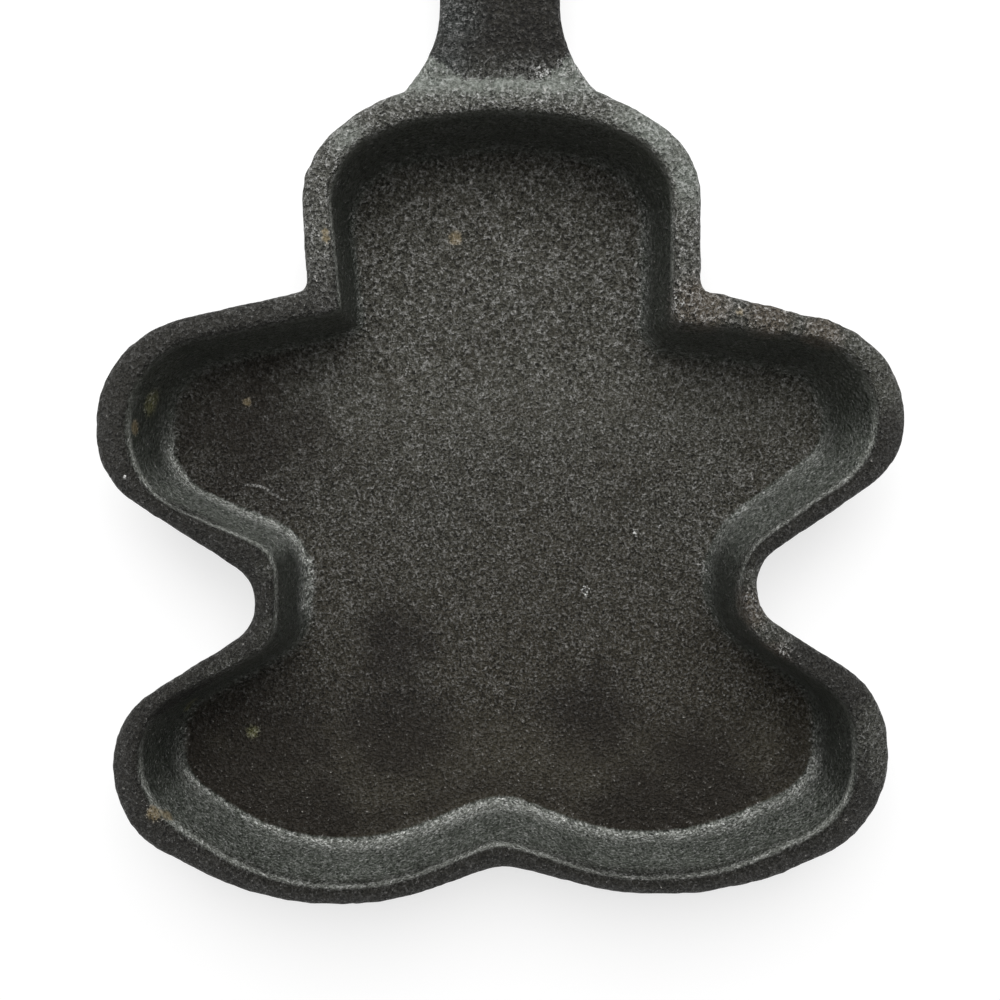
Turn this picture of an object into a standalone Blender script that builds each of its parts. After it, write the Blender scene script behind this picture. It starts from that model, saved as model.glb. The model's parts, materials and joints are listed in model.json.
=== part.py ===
"""Mini cast-iron skillet whose pan is a little figure: a round head, two arms and two legs.

It is a single sand casting: floor, drafted wall, crowned rim and handle are poured together. The
origin is on the flat underside, below the middle of the pan. +Y runs along the handle, +Z is up.
All lengths are in metres.
"""

import math
from collections import namedtuple

import bmesh
import bpy
from mathutils import Vector

# Heights of the pan, from the flat underside.
PAN_HEIGHT = 0.0200
FLOOR_THICKNESS = 0.0040
RIM_FALL = 0.0022
BASE_EDGE_RADIUS = 0.0025
FLOOR_FILLET = 0.0028

# The walls lean so that the casting leaves the sand: how far over their height.
OUTER_DRAFT = 0.0019
INNER_DRAFT = 0.0017

# The figure's outer edge, as corners that are then rounded. Reaches are measured out from the
# middle line. The neck, the waist and the soles have their own heights up the figure from the
# origin, and the other corners are placed from those.
NECK_HEIGHT = 0.0329
HEAD_HEIGHT = 0.0341
BROW_REACH = 0.0170
BROW_FALL = 0.0032
HEAD_REACH = 0.0315
TEMPLE_FALL = 0.0122
ARM_REACH = 0.0635
SHOULDER_FALL = 0.0077
HAND_WIDTH = 0.0192
WAIST_REACH = 0.0403
WAIST_HEIGHT = -0.0099
WAIST_LENGTH = 0.0077
SOLE_HEIGHT = -0.0617
SOLE_REACH = 0.0360
INSTEP_REACH = 0.0176
CROTCH_RISE = 0.0045
LEG_REACH = 0.0609
HEEL_RISE = 0.0101
LEG_WIDTH = 0.0309

CROWN_RADIUS = 0.060
BROW_RADIUS = 0.025
TEMPLE_RADIUS = 0.014
NECK_RADIUS = 0.0018
ARM_TOP_RADIUS = 0.017
ARM_UNDERSIDE_RADIUS = 0.013
WAIST_RADIUS = 0.0063
LEG_TOP_RADIUS = 0.015
HEEL_RADIUS = 0.017
SOLE_RADIUS = 0.044
CROTCH_RADIUS = 0.009

# The pattern was carved by hand, and the figure's left side sags a little.
LEFT_NECK_DRAWN_IN = 0.0012
LEFT_ARM_DROP = 0.0026
LEFT_WAIST_DROP = 0.0027
LEFT_WAIST_CUT = 0.0017
LEFT_LEG_DROP = 0.0032
LEFT_SOLE_DROP = 0.0018

# The rim, at its full width on the arms.
RIM_WIDTH = 0.0050

# How far the pan's inner edge lies inside each outer corner, across and up, in shares of the rim's
# width, with up positive. Then the inner corner's radius as a share of the outer one, and how far
# the wall below leans in there as a share of INNER_DRAFT.
CROWN_RIM_SHARES = (0.0, -1.18, 0.90, 1.00)
CROTCH_RIM_SHARES = (0.0, 0.74, 0.78, 1.85)
RIGHT_RIM_SHARES = {
    "brow": (0.32, -1.00, 0.88, 0.95),
    "temple": (0.88, -0.32, 0.86, 1.50),
    "neck": (0.92, -1.06, 0.70, 1.80),
    "arm_top": (0.94, -0.26, 0.76, 2.10),
    "arm_underside": (0.96, 0.00, 1.05, 2.70),
    "waist_top": (0.52, 0.26, 1.55, 2.10),
    "waist_foot": (0.54, -0.52, 1.55, 1.25),
    "leg_top": (1.12, -0.30, 0.73, 1.10),
    "heel": (1.10, 0.46, 0.75, 1.25),
    "sole": (0.50, 0.46, 0.92, 1.40),
    "instep": (0.06, 0.46, 0.80, 1.45),
}
LEFT_RIM_SHARES = {
    "brow": (0.32, -1.02, 0.88, 1.10),
    "temple": (0.80, -0.28, 0.86, 0.60),
    "neck": (1.06, -0.72, 0.50, 0.75),
    "arm_top": (1.08, -0.44, 0.80, 1.35),
    "arm_underside": (1.06, -0.38, 1.05, 1.30),
    "waist_top": (0.66, 0.88, 0.85, 1.45),
    "waist_foot": (0.68, -0.46, 0.95, 1.55),
    "leg_top": (0.88, 0.04, 0.73, 1.85),
    "heel": (0.92, 0.88, 0.73, 0.85),
    "sole": (-0.06, 0.56, 0.80, 1.00),
    "instep": (0.10, 0.56, 0.80, 2.00),
}

# The rim's crowned section, from its outer edge to the inner one: how far across, and how far
# below the crest, in shares of the rim's width and of its fall.
RIM_SECTION_SHARES = (
    (0.00, 1.00),
    (0.04, 0.74),
    (0.12, 0.50),
    (0.26, 0.30),
    (0.45, 0.14),
    (0.64, 0.03),
    (0.78, 0.00),
    (0.89, 0.07),
    (0.96, 0.21),
    (1.00, 0.44),
)

# The handle, cast in one with the head's wall. Its length starts at the head's edge.
HANDLE_LENGTH = 0.0942
HANDLE_DECK_DROP = 0.0024
HANDLE_THICKNESS = 0.0078
HANDLE_END_THICKNESS = 0.0064
HANDLE_RISE = 0.0040
HANDLE_EDGE_RADIUS = 0.0019
HANDLE_CROWN = 0.0004
NECK_HALF_WIDTH = 0.0095
GRIP_HALF_WIDTH = 0.0122
FLARE_RADIUS = 0.0139
FLARE_DEPTH = 0.0020
ROOT_DEPTH = 0.0034
RAMP_LENGTH = 0.0022
RAMP_DEPTH = 0.0013
RAMP_TOP_DROP = 0.0009
DECK_POINT_SHARES = (0.5, 0.0, -0.5)
ROUNDING_LIMIT_SHARE = 0.95
TIP_EDGE_POWER = 4

# The hole that the skillet hangs from, a drop that narrows towards the pan.
HOLE_LENGTH = 0.0205
HOLE_HALF_WIDTH = 0.0048
HOLE_NARROW_HALF_WIDTH = 0.0019
HOLE_END_WALL = 0.0074
CUT_OVERRUN = 0.0050

# Facets: how far one may lie inside the round that it stands for, and counts.
FACET_SAG = 0.00004
FEWEST_FACETS = 2
SHANK_STATIONS = 9
SMALLEST_RADIUS = 0.0003

IRON_COLOUR = (0.036, 0.035, 0.033, 1.0)
IRON_ROUGHNESS = 0.58
IRON_METALLIC = 0.25
SHARP_ANGLE = math.radians(40)

Corner = namedtuple("Corner", "x y radius lean_share", defaults=[1.0])


def clear_scene():
    for obj in list(bpy.data.objects):
        bpy.data.objects.remove(obj, do_unlink=True)


def iron_material():
    material = bpy.data.materials.new("seasoned_cast_iron")
    material.use_nodes = True
    shader = material.node_tree.nodes["Principled BSDF"]
    shader.inputs["Base Color"].default_value = IRON_COLOUR
    shader.inputs["Roughness"].default_value = IRON_ROUGHNESS
    shader.inputs["Metallic"].default_value = IRON_METALLIC
    return material


def smoothstep(share):
    """A share of 0 to 1, eased at both ends."""
    held = min(max(share, 0.0), 1.0)
    return held * held * (3.0 - 2.0 * held)


def between(start, end, share):
    return start + (end - start) * share


def side_corners(left):
    """The outer corners of one side of the figure by name, from the brow down to the instep."""
    neck_in = LEFT_NECK_DRAWN_IN if left else 0.0
    arm_drop = LEFT_ARM_DROP if left else 0.0
    waist_drop = LEFT_WAIST_DROP if left else 0.0
    waist_cut = LEFT_WAIST_CUT if left else 0.0
    leg_drop = LEFT_LEG_DROP if left else 0.0
    sole_drop = LEFT_SOLE_DROP if left else 0.0
    crown = NECK_HEIGHT + HEAD_HEIGHT
    arm_top = NECK_HEIGHT - SHOULDER_FALL
    waist = WAIST_HEIGHT - waist_drop
    waist_reach = WAIST_REACH - waist_cut
    heel = SOLE_HEIGHT + HEEL_RISE
    leg_top = SOLE_HEIGHT + LEG_WIDTH - leg_drop
    sole = SOLE_HEIGHT - sole_drop
    return {
        "brow": Corner(BROW_REACH, crown - BROW_FALL, BROW_RADIUS),
        "temple": Corner(HEAD_REACH, crown - TEMPLE_FALL, TEMPLE_RADIUS),
        "neck": Corner(HEAD_REACH - neck_in, NECK_HEIGHT, NECK_RADIUS),
        "arm_top": Corner(ARM_REACH, arm_top, ARM_TOP_RADIUS),
        "arm_underside": Corner(ARM_REACH, arm_top - HAND_WIDTH - arm_drop, ARM_UNDERSIDE_RADIUS),
        "waist_top": Corner(waist_reach, waist, WAIST_RADIUS),
        "waist_foot": Corner(waist_reach, waist - WAIST_LENGTH, WAIST_RADIUS),
        "leg_top": Corner(LEG_REACH, leg_top, LEG_TOP_RADIUS),
        "heel": Corner(LEG_REACH, heel, HEEL_RADIUS),
        "sole": Corner(SOLE_REACH, sole, SOLE_RADIUS),
        "instep": Corner(INSTEP_REACH, sole, SOLE_RADIUS),
    }


def moved_in(corner, shares):
    """The same corner on the rim's inner edge."""
    across, up, radius, lean_share = shares
    x = corner.x - across * RIM_WIDTH
    y = corner.y + up * RIM_WIDTH
    return Corner(x, y, corner.radius * radius, lean_share)


def figure_corners(inner_edge):
    """The whole figure anticlockwise from the crown, at the rim's outer or inner edge."""
    crown = Corner(0.0, NECK_HEIGHT + HEAD_HEIGHT, CROWN_RADIUS)
    crotch = Corner(0.0, SOLE_HEIGHT + CROTCH_RISE, CROTCH_RADIUS)
    left_side = side_corners(left=True)
    right_side = side_corners(left=False)
    if inner_edge:
        crown = moved_in(crown, CROWN_RIM_SHARES)
        crotch = moved_in(crotch, CROTCH_RIM_SHARES)
        left_side = {n: moved_in(c, LEFT_RIM_SHARES[n]) for n, c in left_side.items()}
        right_side = {n: moved_in(c, RIGHT_RIM_SHARES[n]) for n, c in right_side.items()}
    down_the_left = [c._replace(x=-c.x) for c in left_side.values()]
    up_the_right = list(reversed(right_side.values()))
    return [crown] + down_the_left + [crotch] + up_the_right


def corner_frame(corners, index):
    """Unit vectors to the neighbours, half the angle between them, and whether it juts out."""
    here = Vector(corners[index][:2])
    to_last = Vector(corners[index - 1][:2]) - here
    to_next = Vector(corners[(index + 1) % len(corners)][:2]) - here
    half_angle = to_last.angle(to_next) / 2
    juts_out = to_last.cross(to_next) < 0
    return here, to_last, to_next, half_angle, juts_out


def inset(corners, distance, draft=0.0):
    """The outline's corners moved in by the distance, and by each corner's own share of the draft."""
    moved = []
    for index, corner in enumerate(corners):
        here, to_last, to_next, half_angle, juts_out = corner_frame(corners, index)
        inward = (to_last.normalized() + to_next.normalized()).normalized()
        step_in = distance + draft * corner.lean_share
        towards = step_in if juts_out else -step_in
        place = here + inward * towards / math.sin(half_angle)
        radius = max(corner.radius - towards, SMALLEST_RADIUS)
        moved.append(Corner(place.x, place.y, radius, corner.lean_share))
    return moved


def blended(outer, inner, share):
    """Corners that lie a share of the way from one outline to another."""
    return [
        Corner(*(between(a, b, share) for a, b in zip(first, second)))
        for first, second in zip(outer, inner)
    ]


def facets_of(radius, turn):
    """How many facets a round needs so that none lies further inside it than FACET_SAG."""
    turn_of_one = 2 * math.acos(1.0 - FACET_SAG / max(radius, SMALLEST_RADIUS))
    return max(FEWEST_FACETS, math.ceil(turn / turn_of_one))


def corner_facets(corners):
    """The facets of each corner's arc, which every ring stacked on the outline then has."""
    counts = []
    for index, corner in enumerate(corners):
        half_angle = corner_frame(corners, index)[3]
        counts.append(facets_of(corner.radius, math.pi - 2 * half_angle))
    return counts


def rounded(corners, facets):
    """The outline as points: each corner an arc of so many facets, held back to fit its sides."""
    frames = [corner_frame(corners, index) for index in range(len(corners))]
    reaches = [c.radius / math.tan(f[3]) for c, f in zip(corners, frames)]
    points = []
    for index, corner in enumerate(corners):
        here, to_last, to_next, half_angle, _ = frames[index]
        after = (index + 1) % len(corners)
        room = min(
            to_last.length / (reaches[index] + reaches[index - 1]),
            to_next.length / (reaches[index] + reaches[after]),
            1.0,
        )
        radius = corner.radius * room
        inward = (to_last.normalized() + to_next.normalized()).normalized()
        centre = here + inward * radius / math.sin(half_angle)
        start = here + to_last.normalized() * reaches[index] * room - centre
        end = here + to_next.normalized() * reaches[index] * room - centre
        sweep = math.atan2(start.cross(end), start.dot(end))
        first = math.atan2(start.y, start.x)
        for step in range(facets[index] + 1):
            angle = first + sweep * step / facets[index]
            points.append(centre + radius * Vector((math.cos(angle), math.sin(angle))))
    return points


def quarter_turn(radius):
    """Cosine and sine pairs of a quarter circle of that radius, both ends included."""
    facets = facets_of(radius, math.pi / 2)
    angles = [math.pi / 2 * step / facets for step in range(facets + 1)]
    return [(math.cos(angle), math.sin(angle)) for angle in angles]


def closed_stack(mesh, rings, paired_ends=False):
    """Joins rings of equal count with quads and closes the first and the last of them.

    Paired ends are closed by quads between the ring's first half and its second, which follow a
    bowed end. Flat ends take one face each.
    """
    rows = [[mesh.verts.new(point) for point in ring] for ring in rings]
    for lower, upper in zip(rows, rows[1:]):
        for index in range(len(lower)):
            after = (index + 1) % len(lower)
            mesh.faces.new((lower[index], lower[after], upper[after], upper[index]))
    for end in (rows[0], rows[-1]):
        if paired_ends:
            for index in range(len(end) // 2 - 1):
                opposite = -1 - index
                mesh.faces.new((end[index], end[index + 1], end[opposite - 1], end[opposite]))
        else:
            mesh.faces.new(end)
    bmesh.ops.recalc_face_normals(mesh, faces=mesh.faces)


def object_from(name, mesh):
    data = bpy.data.meshes.new(name)
    mesh.to_mesh(data)
    mesh.free()
    obj = bpy.data.objects.new(name, data)
    bpy.context.scene.collection.objects.link(obj)
    return obj


def helper_from(name, mesh):
    """A shape that a Boolean uses and that isn't part of the casting itself."""
    helper = object_from(name, mesh)
    helper.hide_render = True
    helper.display_type = "WIRE"
    return helper


def pan():
    """Underside, outer wall, crowned rim, inner wall, fillet and floor, as rings from below."""
    outer = figure_corners(inner_edge=False)
    inner = figure_corners(inner_edge=True)
    wall_top = PAN_HEIGHT - RIM_FALL
    levels = []
    for cosine, sine in quarter_turn(BASE_EDGE_RADIUS):
        height = BASE_EDGE_RADIUS * (1.0 - cosine)
        draft = OUTER_DRAFT * (1.0 - height / wall_top)
        levels.append((inset(outer, BASE_EDGE_RADIUS * (1.0 - sine), draft), height))
    for across, below in RIM_SECTION_SHARES:
        levels.append((blended(outer, inner, across), PAN_HEIGHT - below * RIM_FALL))
    wall_height = levels[-1][1] - FLOOR_THICKNESS
    for cosine, sine in quarter_turn(FLOOR_FILLET):
        height = FLOOR_FILLET * (1.0 - sine)
        draft = INNER_DRAFT * (1.0 - height / wall_height)
        ring = inset(inner, FLOOR_FILLET * (1.0 - cosine), draft)
        levels.append((ring, FLOOR_THICKNESS + height))
    facets = corner_facets(outer)
    rings = []
    for corners, height in levels:
        rings.append([(p.x, p.y, height) for p in rounded(corners, facets)])
    mesh = bmesh.new()
    closed_stack(mesh, rings)
    return object_from("skillet_casting", mesh)


def head_edge(reach=0.0):
    """How far up the figure the head's rounded outer edge lies, at that reach off the middle."""
    outer = figure_corners(inner_edge=False)
    points = rounded(outer, corner_facets(outer))
    heights = []
    for start, end in zip(points, points[1:] + points[:1]):
        if min(start.x, end.x) <= reach < max(start.x, end.x):
            share = (reach - start.x) / (end.x - start.x)
            heights.append(between(start.y, end.y, share))
    return max(heights)


def handle_stations():
    """How far past the head's edge each section lies, and its half width, from root to tip."""
    flare_end = FLARE_RADIUS - FLARE_DEPTH
    grip_centre = HANDLE_LENGTH - GRIP_HALF_WIDTH
    stations = [(-ROOT_DEPTH, NECK_HALF_WIDTH + FLARE_RADIUS)]
    for cosine, sine in reversed(quarter_turn(FLARE_RADIUS)):
        half_width = NECK_HALF_WIDTH + FLARE_RADIUS * (1.0 - cosine)
        stations.append((flare_end - FLARE_RADIUS * sine, half_width))
    for step in range(1, SHANK_STATIONS + 1):
        share = step / SHANK_STATIONS
        half_width = between(NECK_HALF_WIDTH, GRIP_HALF_WIDTH, smoothstep(share))
        stations.append((between(flare_end, grip_centre, share), half_width))
    for cosine, sine in quarter_turn(GRIP_HALF_WIDTH)[1:-1]:
        stations.append((grip_centre + GRIP_HALF_WIDTH * sine, GRIP_HALF_WIDTH * cosine))
    return stations


def handle_section(half_width, bottom, top):
    """The bar's section, its two faces slightly crowned, as across, height and deck share.

    It runs from the right of the deck round to the right of the underside, so that a point and
    its opposite number are as far from the two ends of the list. The deck share is 1 on the
    deck and 0 on the underside.
    """
    room = min((top - bottom) / 2, half_width)
    radius = min(HANDLE_EDGE_RADIUS, ROUNDING_LIMIT_SHARE * room)
    facets = facets_of(HANDLE_EDGE_RADIUS, math.pi / 2)
    points = []
    for side, level, first in ((1, 1, 0), (-1, 1, 90), (-1, -1, 180), (1, -1, 270)):
        face = top if level > 0 else bottom
        deck_share = 1.0 if level > 0 else 0.0
        centre_x = side * (half_width - radius)
        centre_z = face - level * radius
        for step in range(facets + 1):
            angle = math.radians(first + 90 * step / facets)
            across = centre_x + radius * math.cos(angle)
            points.append((across, centre_z + radius * math.sin(angle), deck_share))
        if side == level:
            for share in DECK_POINT_SHARES:
                crown = level * HANDLE_CROWN * (1.0 - share * share)
                points.append((centre_x * share, face + crown, deck_share))
    return points


def handle():
    """The bar from inside the head's wall, over its flared root, to the rounded tip.

    Near the root its sections bow and lean with the wall that they run into, and the deck climbs
    a short ramp to the rim, which fades out towards the two sides of the flare.
    """
    deck = PAN_HEIGHT - HANDLE_DECK_DROP
    wall_top = PAN_HEIGHT - RIM_FALL
    grip_centre = HANDLE_LENGTH - GRIP_HALF_WIDTH
    ramp_height = HANDLE_DECK_DROP - RAMP_TOP_DROP
    edge = head_edge()
    rings = []
    for out, half_width in handle_stations():
        along = max(out, 0.0) / HANDLE_LENGTH
        top = deck + HANDLE_RISE * smoothstep(along)
        bottom = top - between(HANDLE_THICKNESS, HANDLE_END_THICKNESS, along)
        past_grip = max(out - grip_centre, 0.0) / GRIP_HALF_WIDTH
        pinch = HANDLE_EDGE_RADIUS * (1.0 - math.sqrt(1.0 - past_grip**TIP_EDGE_POWER))
        ramp = ramp_height * smoothstep(1.0 - (out + RAMP_DEPTH) / RAMP_LENGTH)
        follows_wall = 1.0 - smoothstep(out / (FLARE_RADIUS - FLARE_DEPTH))
        ring = []
        for x, z, deck_share in handle_section(half_width, bottom + pinch, top - pinch):
            fade = 1.0 - smoothstep((abs(x) - NECK_HALF_WIDTH) / FLARE_RADIUS)
            bow = edge - head_edge(x)
            lean = OUTER_DRAFT * (1.0 - z / wall_top)
            y = edge + out - follows_wall * (bow + lean)
            ring.append((x, y, z + deck_share * ramp * fade))
        rings.append(ring)
    mesh = bmesh.new()
    closed_stack(mesh, rings, paired_ends=True)
    return helper_from("handle_blank", mesh)


def hanging_hole():
    """A prism through the handle's end, in the shape of the hole."""
    far = head_edge() + HANDLE_LENGTH - HOLE_END_WALL
    near = far - HOLE_LENGTH
    corners = [
        Corner(HOLE_HALF_WIDTH, far, HOLE_HALF_WIDTH),
        Corner(-HOLE_HALF_WIDTH, far, HOLE_HALF_WIDTH),
        Corner(-HOLE_NARROW_HALF_WIDTH, near, HOLE_NARROW_HALF_WIDTH),
        Corner(HOLE_NARROW_HALF_WIDTH, near, HOLE_NARROW_HALF_WIDTH),
    ]
    outline = rounded(corners, corner_facets(corners))
    bottom = PAN_HEIGHT - HANDLE_DECK_DROP - HANDLE_THICKNESS - CUT_OVERRUN
    top = PAN_HEIGHT + HANDLE_RISE + CUT_OVERRUN
    mesh = bmesh.new()
    closed_stack(mesh, [[(p.x, p.y, z) for p in outline] for z in (bottom, top)])
    return helper_from("hanging_hole_cutter", mesh)


def add_boolean(obj, name, operation, other):
    modifier = obj.modifiers.new(name, "BOOLEAN")
    modifier.operation = operation
    modifier.solver = "EXACT"
    modifier.object = other


def build_skillet():
    casting = pan()
    add_boolean(casting, "handle cast on", "UNION", handle())
    add_boolean(casting, "hanging hole", "DIFFERENCE", hanging_hole())
    casting.data.materials.append(iron_material())
    casting.data.shade_smooth()
    casting.data.set_sharp_from_angle(angle=SHARP_ANGLE)


clear_scene()
build_skillet()
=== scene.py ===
"""Mini cast-iron skillet whose pan is a little figure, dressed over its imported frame.

The skillet is one sand casting, so it is one piece here too: the frame's own shape, with its edges
softened by the sand, its skin roughened, and its seasoning worn and stained. Lengths are in metres.
"""

import json
import math
from types import SimpleNamespace

import bmesh
import bpy
import numpy as np
from mathutils.kdtree import KDTree
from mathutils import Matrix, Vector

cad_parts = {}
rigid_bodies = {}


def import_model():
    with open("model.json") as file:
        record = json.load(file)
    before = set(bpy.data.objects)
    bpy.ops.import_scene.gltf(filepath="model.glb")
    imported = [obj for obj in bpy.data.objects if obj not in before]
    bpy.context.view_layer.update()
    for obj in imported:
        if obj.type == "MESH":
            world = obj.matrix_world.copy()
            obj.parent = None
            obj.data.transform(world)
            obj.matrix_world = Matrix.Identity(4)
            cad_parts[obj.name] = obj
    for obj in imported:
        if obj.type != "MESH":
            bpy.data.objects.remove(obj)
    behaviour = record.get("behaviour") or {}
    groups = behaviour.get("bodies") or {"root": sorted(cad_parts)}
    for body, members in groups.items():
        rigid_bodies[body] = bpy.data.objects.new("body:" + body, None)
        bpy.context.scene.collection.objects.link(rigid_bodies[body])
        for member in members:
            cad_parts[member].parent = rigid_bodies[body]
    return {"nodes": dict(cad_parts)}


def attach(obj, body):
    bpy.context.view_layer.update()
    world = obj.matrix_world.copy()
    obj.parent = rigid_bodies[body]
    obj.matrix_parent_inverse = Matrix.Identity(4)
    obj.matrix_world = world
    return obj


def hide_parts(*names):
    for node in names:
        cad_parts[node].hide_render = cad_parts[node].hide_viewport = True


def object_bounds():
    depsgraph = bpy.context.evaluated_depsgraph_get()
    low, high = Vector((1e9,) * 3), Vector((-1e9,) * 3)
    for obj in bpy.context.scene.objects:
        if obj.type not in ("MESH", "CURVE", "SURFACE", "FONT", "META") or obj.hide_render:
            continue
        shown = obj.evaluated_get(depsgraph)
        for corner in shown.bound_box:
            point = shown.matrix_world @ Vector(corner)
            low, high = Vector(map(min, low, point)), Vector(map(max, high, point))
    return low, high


for startup_object in list(bpy.data.objects):
    bpy.data.objects.remove(startup_object)
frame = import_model()
cad_box = [list(corner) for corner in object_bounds()]


# The casting. Grey iron is poured once into sand, so the pan and its handle are a single piece,
# and every edge of it comes out a little rounded where the sand gave way.
CASTING_NODE = "skillet_casting"
MERGE_DISTANCE = 0.0000005
SKIN_CELL = 0.00060
EVENING_ROUNDS = 4
EVENING_SHARE = 0.5
EDGE_SOFTENING_ROUNDS = 1
EDGE_SOFTENING_SHARE = 0.4


def finished_mesh(obj):
    """Gives the object the plain mesh that its modifiers make, and clears them."""
    seen = obj.evaluated_get(bpy.context.evaluated_depsgraph_get())
    made = bpy.data.meshes.new_from_object(seen)
    obj.modifiers.clear()
    obj.data = made
    made.name = obj.name


def cast_blank():
    """A closed copy of the frame's casting, in even cells and with softened edges."""
    loose = bmesh.new()
    loose.from_mesh(frame["nodes"][CASTING_NODE].data)
    bmesh.ops.remove_doubles(loose, verts=loose.verts, dist=MERGE_DISTANCE)
    data = bpy.data.meshes.new("seasoned_casting")
    loose.to_mesh(data)
    loose.free()
    blank = bpy.data.objects.new("seasoned_casting", data)
    bpy.context.scene.collection.objects.link(blank)
    cells = blank.modifiers.new("even cells", "REMESH")
    cells.mode = "VOXEL"
    cells.voxel_size = SKIN_CELL
    evened = blank.modifiers.new("evened cells", "SMOOTH")
    evened.factor = EVENING_SHARE
    evened.iterations = EVENING_ROUNDS
    seated = blank.modifiers.new("back onto the casting", "SHRINKWRAP")
    seated.target = frame["nodes"][CASTING_NODE]
    seated.wrap_method = "NEAREST_SURFACEPOINT"
    softened = blank.modifiers.new("softened edges", "SMOOTH")
    softened.factor = EDGE_SOFTENING_SHARE
    softened.iterations = EDGE_SOFTENING_ROUNDS
    finished_mesh(blank)
    return blank


casting = cast_blank()


# The rim's crest is the line that the rest of the pan is placed from. The rim falls away to both
# sides of it, the wall drops inside it, and the floor lies at the wall's foot.
CREST_HEIGHT = 0.0200
CREST_TOLERANCE = 0.00001
CREST_DIGITS = 6
CREST_STEP = 0.0004
HEAD_EDGE = 0.0660


def points_of(data):
    """The mesh's points as rows of x, y and z."""
    flat = np.empty(len(data.vertices) * 3)
    data.vertices.foreach_get("co", flat)
    return flat.reshape(-1, 3)


def normals_of(data):
    """The way that each of the mesh's points faces."""
    flat = np.empty(len(data.vertices) * 3)
    data.vertex_normals.foreach_get("vector", flat)
    return flat.reshape(-1, 3)


def crest_points():
    """The crest as closely spaced points, in order round the middle of the pan."""
    corners = points_of(frame["nodes"][CASTING_NODE].data)
    at_crest = np.abs(corners[:, 2] - CREST_HEIGHT) < CREST_TOLERANCE
    found = {
        (round(x, CREST_DIGITS), round(y, CREST_DIGITS))
        for x, y, _ in corners[at_crest]
        if y < HEAD_EDGE
    }
    ring = sorted(found, key=lambda p: math.atan2(p[1], p[0]))
    dense = []
    for start, end in zip(ring, ring[1:] + ring[:1]):
        steps = max(1, round(math.dist(start, end) / CREST_STEP))
        for step in range(steps):
            dense.append([a + (b - a) * step / steps for a, b in zip(start, end)])
    return np.array(dense)


crest = crest_points()
crest_tree = KDTree(len(crest))
for crest_index, (crest_x, crest_y) in enumerate(crest):
    crest_tree.insert((crest_x, crest_y, 0.0), crest_index)
crest_tree.balance()


def from_crest(points):
    """The way to each point from the crest's nearest point, seen from above."""
    nearest = np.array([crest_tree.find((x, y, 0.0))[0][:2] for x, y in points[:, :2]])
    return points[:, :2] - nearest


def inside_crest(points):
    """How far each point lies inside the crest's line, seen from above, and negative outside it."""
    away = np.linalg.norm(from_crest(points), axis=1)
    crest_turn = np.arctan2(crest[:, 1], crest[:, 0])
    crest_reach = np.hypot(crest[:, 0], crest[:, 1])
    turn = np.arctan2(points[:, 1], points[:, 0])
    reach = np.interp(turn, crest_turn, crest_reach, period=2 * math.pi)
    return np.where(np.hypot(points[:, 0], points[:, 1]) < reach, away, -away)


# The pan's inside, its rim and the handle's face next to the rim keep the fine cells. The outer walls
# and the underside are plain, so their cells are wider, as are those of the handle further out.
RIM_OUTER_REACH = 0.0058
OUTER_WALL_TOP = 0.0120
FACING_UP = -0.2
KEPT_SHARE = 0.68
KEPT_FIRMLY = 50.0
HIDDEN_GROUP = "hidden"


def widen_hidden_cells(obj):
    """Thins the cells that lie outside the rim and under the floor, and no others."""
    points = points_of(obj.data)
    faces_up = normals_of(obj.data)[:, 2]
    inside = inside_crest(points)
    high = points[:, 2] > OUTER_WALL_TOP
    on_rim = (inside > -RIM_OUTER_REACH) & high & (faces_up > FACING_UP)
    in_pan = (inside > 0) & (faces_up > FACING_UP)
    hidden = obj.vertex_groups.new(name=HIDDEN_GROUP)
    for index in np.flatnonzero(~(on_rim | in_pan)):
        hidden.add([int(index)], 1.0, "REPLACE")
    fewer = obj.modifiers.new("wider cells", "DECIMATE")
    fewer.ratio = KEPT_SHARE
    fewer.vertex_group = HIDDEN_GROUP
    fewer.vertex_group_factor = KEPT_FIRMLY
    finished_mesh(obj)
    obj.vertex_groups.clear()


widen_hidden_cells(casting)


# Marks that the sand and years of use left, and places where light is painted on. Each row is a place
# and a radius, and in the dents also how far the iron stands up there. The fillet at the walls' foot
# is tighter where they face the handle, and it sinks there into the floor.
DENTS = [
    (-0.0314, -0.0616, 0.0170, 0.0016, -0.0007),
    (-0.0306, 0.0527, 0.0180, 0.0022, -0.0004),
    (0.0551, -0.0313, 0.0195, 0.0018, -0.0004),
    (0.0512, 0.0280, 0.0185, 0.0026, 0.0003),
    (-0.0312, 0.0515, 0.0180, 0.0022, 0.0003),
    (-0.0397, -0.0549, 0.0045, 0.0012, 0.0004),
    (-0.0373, -0.0553, 0.0042, 0.0011, 0.0004),
    (-0.0348, -0.0560, 0.0042, 0.0011, 0.0004),
    (-0.0334, -0.0565, 0.0043, 0.0012, 0.0004),
    (-0.0364, -0.0173, 0.0196, 0.0007, 0.0002),
]
RUST_SPOTS = [
    (-0.0077, 0.0438, 0.0040, 0.0019),
    (-0.0430, 0.0160, 0.0040, 0.0012),
    (-0.0272, 0.0416, 0.0200, 0.0010),
    (-0.0270, 0.0405, 0.0199, 0.0010),
    (-0.0578, 0.0113, 0.0167, 0.0019),
    (-0.0537, -0.0487, 0.0196, 0.0020),
    (-0.0523, -0.0496, 0.0180, 0.0018),
    (0.0372, 0.0290, 0.0192, 0.0012),
]
STAINS = [
    (-0.0566, 0.0154, 0.0123, 0.0042),
    (-0.0420, -0.0399, 0.0040, 0.0021),
    (-0.0514, -0.0340, 0.0074, 0.0022),
    (-0.0524, -0.0352, 0.0066, 0.0017),
]
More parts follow.
